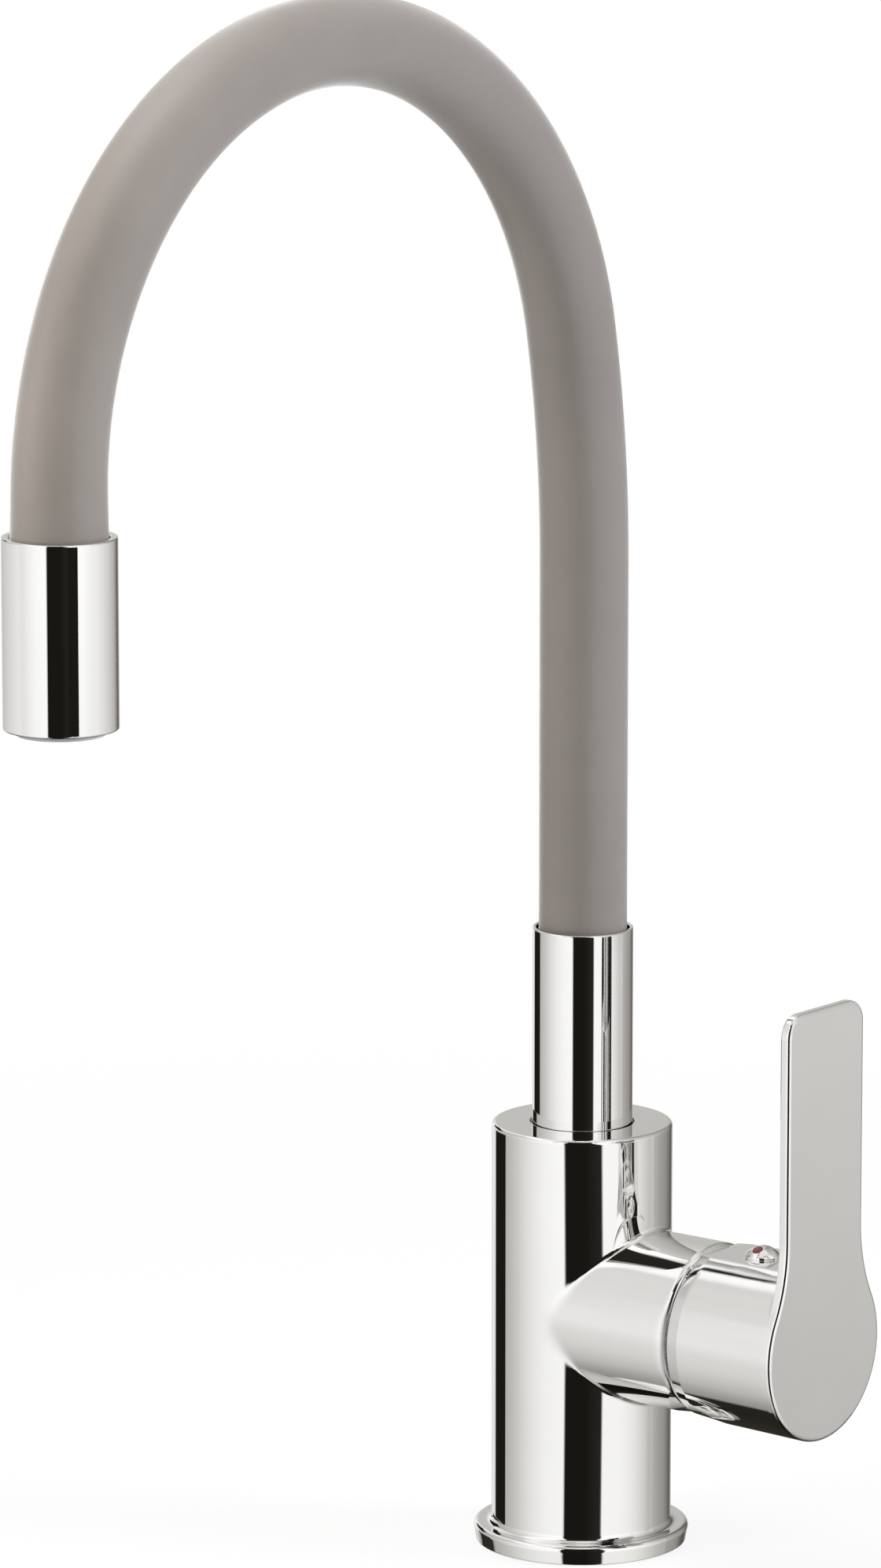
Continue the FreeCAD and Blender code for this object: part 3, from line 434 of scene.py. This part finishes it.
standing("head_left_card", HEAD_PLACE, turn=-112, distance=0.25, width=0.46, bottom=0.120, top=0.290,
         finish=left_glow)
standing("head_right_card", HEAD_PLACE, turn=105, distance=0.27, width=0.50, bottom=0.120, top=0.290,
         finish=right_glow)
standing("head_dark_card", HEAD_PLACE, turn=28.5, distance=0.25, width=0.090, bottom=0.130, top=0.330,
         finish=no_glow)
standing("lever_card", LEVER_PLACE, turn=106.7, distance=0.30, width=0.085, bottom=-0.13, top=0.16,
         finish=lever_glow)


# Floor and surroundings


def seen_directly(tree, path):
    """One for rays from the camera, a mirror or clear glass, and nought for diffuse light."""
    seen = maths(tree, "ADD", path.outputs["Is Camera Ray"], path.outputs["Is Glossy Ray"])
    seen = node(tree, "Math", {0: seen, 1: path.outputs["Is Transmission Ray"]},
                operation="ADD", use_clamp=True)
    return seen.outputs["Value"]


def floor_finish():
    """White, with a share of matt paper near the tap that takes its shadow, and clear from below."""
    made, tree, output = material("white_floor")
    seen = seen_directly(tree, node(tree, "LightPath"))
    away = node(tree, "VectorMath", {0: place_of(tree)}, operation="LENGTH").outputs["Value"]
    share = maths(tree, "MULTIPLY", seen, spread(tree, away, 0.80, 1.0, start=0.10, stop=0.6))
    matt = node(tree, "BsdfDiffuse", Color=(0.90, 0.90, 0.90, 1.0))
    glow = node(tree, "Emission", Color=(1.0, 1.0, 1.0, 1.0), Strength=1.0)
    lit = node(tree, "MixShader", {0: share, 1: matt.outputs["BSDF"], 2: glow.outputs["Emission"]})
    clear = node(tree, "BsdfTransparent")
    under = node(tree, "NewGeometry").outputs["Backfacing"]
    shown = node(tree, "MixShader", {0: under, 1: lit.outputs["Shader"], 2: clear.outputs["BSDF"]})
    tree.links.new(shown.outputs["Shader"], output.inputs["Surface"])
    return made


floor_mesh = bpy.data.meshes.new("floor")
floor_corners = [(x * FLOOR_HALF, y * FLOOR_HALF, -FLOOR_DROP)
                 for x, y in ((-1, -1), (1, -1), (1, 1), (-1, 1))]
floor_mesh.from_pydata(floor_corners, [], [(0, 1, 2, 3)])
floor_mesh.materials.append(floor_finish())
floor = bpy.data.objects.new("floor", floor_mesh)
bpy.context.collection.objects.link(floor)
floor.visible_glossy = False

# Round the tap, as polished metal mirrors it: turn from the camera's side in degrees, and brightness.
# Two broad soft boxes stand either side of a dark gap at the camera, and the studio falls off behind the tap.
ROUND = [(-180, 0.52), (-172, 0.60), (-160, 0.90), (-125, 0.46), (-114, 0.48), (-102, 0.55), (-91, 0.63),
         (-81, 0.73), (-63, 0.87), (-47, 0.96), (-32, 1.0), (-23, 1.0), (-22, 0.010), (5, 0.010), (25, 0.022),
         (26, 1.0), (49, 0.99), (57, 0.95), (66, 0.90), (75, 0.82), (84, 0.72), (94, 0.60), (105, 0.50),
         (118, 0.38), (134, 0.31), (145, 0.21), (157, 0.10), (168, 0.42), (180, 0.52)]
# The same lower down: the floor behind the tap is dark
BELOW = [(-180, 0.03), (-118, 0.03), *(stop for stop in ROUND if -115 < stop[0] < 135),
         (150, 0.04), (180, 0.03)]
# The same higher up: a long soft box to the left, and the dark gap over the camera
ABOVE = [(-180, 0.55), (-165, 0.85), (-150, 1.0), (-60, 1.0), (-42, 0.90), (-36, 0.02), (30, 0.02),
         (38, 0.80), (80, 0.60), (125, 0.35), (180, 0.55)]
# How the studio's brightness goes with the height above the horizon in degrees
GAIN = [(-52, 0.62), (-44, 0.80), (-36, 0.85), (-27, 0.90), (-17, 0.92), (-6, 1.04), (11, 1.02), (21, 0.98),
        (30, 0.99), (39, 1.06), (46, 1.20), (52, 1.34)]
DARK = warm_grey(0.012)
CEILING = (0.80, 0.79, 0.77)
# Two dark stands far to the left, one low and one high: their turns and their heights above the horizon
STANDS = [((-145, -115), (-40, -10.5)), ((-158, -130), (8, 26))]
# Heights above the horizon between which one layer gives way to the next
FOOT_EDGE = (-75, -62)
FLOOR_EDGE = (-26, -17)
OVERHEAD_EDGE = (50.5, 53)
CEILING_EDGE = (58, 70)
# Strength of the surroundings in mirrors, and of the light that they give to the rest
MIRRORED = 1.06
AMBIENT = 0.06


def tones(tree, source, stops):
    """Warm greys along a range of degrees from -180 to 180."""
    places = spread(tree, source, 0.0, 1.0, start=-180.0, stop=180.0)
    return ramp(tree, places, *(((degrees + 180) / 360, warm_grey(v)) for degrees, v in stops))


def mixed(tree, share, low, top):
    """Two tones, by a share from nought to one."""
    made = node(tree, "MixRGB", {"Fac": share})
    for key, tone in (("Color1", low), ("Color2", top)):
        if isinstance(tone, tuple):
            made.inputs[key].default_value = (*tone, 1.0)
        else:
            tree.links.new(tone, made.inputs[key])
    return made.outputs["Color"]


def within(tree, *ranges):
    """One where each source is in its range, nought outside, with soft edges 2 degrees wide."""
    share = 1.0
    for source, (low, top) in ranges:
        for start, stop in ((low - 1, low + 1), (top + 1, top - 1)):
            share = maths(tree, "MULTIPLY", smooth(tree, source, start, stop), share)
    return share


def surroundings(tree, turn, rise):
    """What a mirror sees of the studio at a turn and a height above the horizon."""
    def layered(low, top, edge):
        """One tone that gives way to another between an edge's two heights."""
        return mixed(tree, smooth(tree, rise, *edge), low, top)

    tone = tones(tree, turn, ROUND)
    for turns, rises in STANDS:
        tone = mixed(tree, within(tree, (turn, turns), (rise, rises)), tone, DARK)
    tone = layered(tones(tree, turn, BELOW), tone, FLOOR_EDGE)
    tone = layered(DARK, tone, FOOT_EDGE)
    gained = node(tree, "MixRGB", {"Color1": tone, "Color2": tones(tree, rise, GAIN)}, Fac=1.0,
                  blend_type="MULTIPLY")
    tone = layered(gained.outputs["Color"], tones(tree, turn, ABOVE), OVERHEAD_EDGE)
    return layered(tone, CEILING, CEILING_EDGE)


def studio():
    """White to the camera, the soft boxes to mirrors, and a faint even light to the rest."""
    world = bpy.data.worlds.new("studio")
    bpy.context.scene.world = world
    world.use_nodes = True
    tree = world.node_tree
    tree.nodes.clear()
    output = tree.nodes.new("ShaderNodeOutputWorld")
    path = node(tree, "LightPath")
    faced = node(tree, "Mapping", {"Vector": node(tree, "TexCoord").outputs["Generated"]},
                 Rotation=(0, 0, -CAMERA_TURN))
    axes = node(tree, "SeparateXYZ", {"Vector": faced.outputs["Vector"]})
    turn = maths(tree, "DEGREES", maths(tree, "ARCTAN2", axes.outputs["Y"], axes.outputs["X"]))
    rise = maths(tree, "DEGREES", maths(tree, "ARCSINE", axes.outputs["Z"]))
    mirrored = node(tree, "Background", {"Color": surroundings(tree, turn, rise)}, Strength=MIRRORED)
    white = node(tree, "Background", Color=(1.0, 1.0, 1.0, 1.0), Strength=1.0)
    dim = node(tree, "Background", Color=(1.0, 1.0, 1.0, 1.0), Strength=AMBIENT)
    both = node(tree, "MixShader", {0: seen_directly(tree, path), 1: dim.outputs["Background"],
                                    2: white.outputs["Background"]})
    every = node(tree, "MixShader", {0: path.outputs["Is Glossy Ray"], 1: both.outputs["Shader"],
                                     2: mirrored.outputs["Background"]})
    tree.links.new(every.outputs["Shader"], output.inputs["Surface"])


studio()


# Lamps and camera


def lamp(name, turn, distance, height, aim, size, power, tint=(1.0, 1.0, 1.0)):
    """A soft lamp, hidden from the camera and from mirrors."""
    data = bpy.data.lights.new(name, "AREA")
    data.shape = "RECTANGLE"
    data.size, data.size_y = size
    data.energy = power
    data.color = tint
    made = bpy.data.objects.new(name, data)
    made.location = polar(turn, distance, height)
    made.rotation_euler = (Vector(aim) - made.location).to_track_quat("-Z", "Y").to_euler()
    made.visible_camera = False
    made.visible_glossy = False
    bpy.context.collection.objects.link(made)


lamp("top_lamp", turn=40, distance=0.5, height=2.0, aim=(0, -0.08, 0.1), size=(1.6, 1.6), power=4.0)
lamp("fill_lamp", turn=78, distance=2.0, height=0.9, aim=(0, -0.08, 0.2), size=(1.0, 1.0), power=50.0,
     tint=(0.96, 1.0, 1.05))
lamp("rim_lamp", turn=180, distance=1.2, height=1.0, aim=(0, -0.08, 0.3), size=(1.8, 0.6), power=6.0)
lamp("arch_lamp", turn=-70, distance=0.25, height=0.85, aim=(0, -0.12, 0.38), size=(0.4, 0.4), power=3.9)
# Three small lamps for the hose above the head
DROP_SIZE = (0.12, 0.25)
lamp("drop_left_lamp", turn=-62, distance=0.46, height=0.36, aim=(0, -REACH, 0.33), size=DROP_SIZE,
     power=0.66, tint=(1.02, 1.0, 0.94))
lamp("drop_front_lamp", turn=-45, distance=0.46, height=0.34, aim=(0, -REACH, 0.33), size=DROP_SIZE,
     power=0.22, tint=(1.02, 1.0, 0.94))
lamp("drop_right_lamp", turn=-14, distance=0.44, height=0.33, aim=(0, -REACH, 0.32), size=DROP_SIZE,
     power=0.32, tint=(1.05, 1.0, 0.90))

camera_data = bpy.data.cameras.new("camera")
camera_data.lens = CAMERA_LENS
camera_data.sensor_width = CAMERA_SENSOR
camera_data.clip_end = CAMERA_FAR
camera = bpy.data.objects.new("camera", camera_data)
camera.location = CAMERA_PLACE
camera.rotation_euler = CAMERA_LOOK.to_track_quat("-Z", "Y").to_euler()
bpy.context.collection.objects.link(camera)
bpy.context.scene.camera = camera
bpy.context.scene.view_settings.view_transform = "Standard"
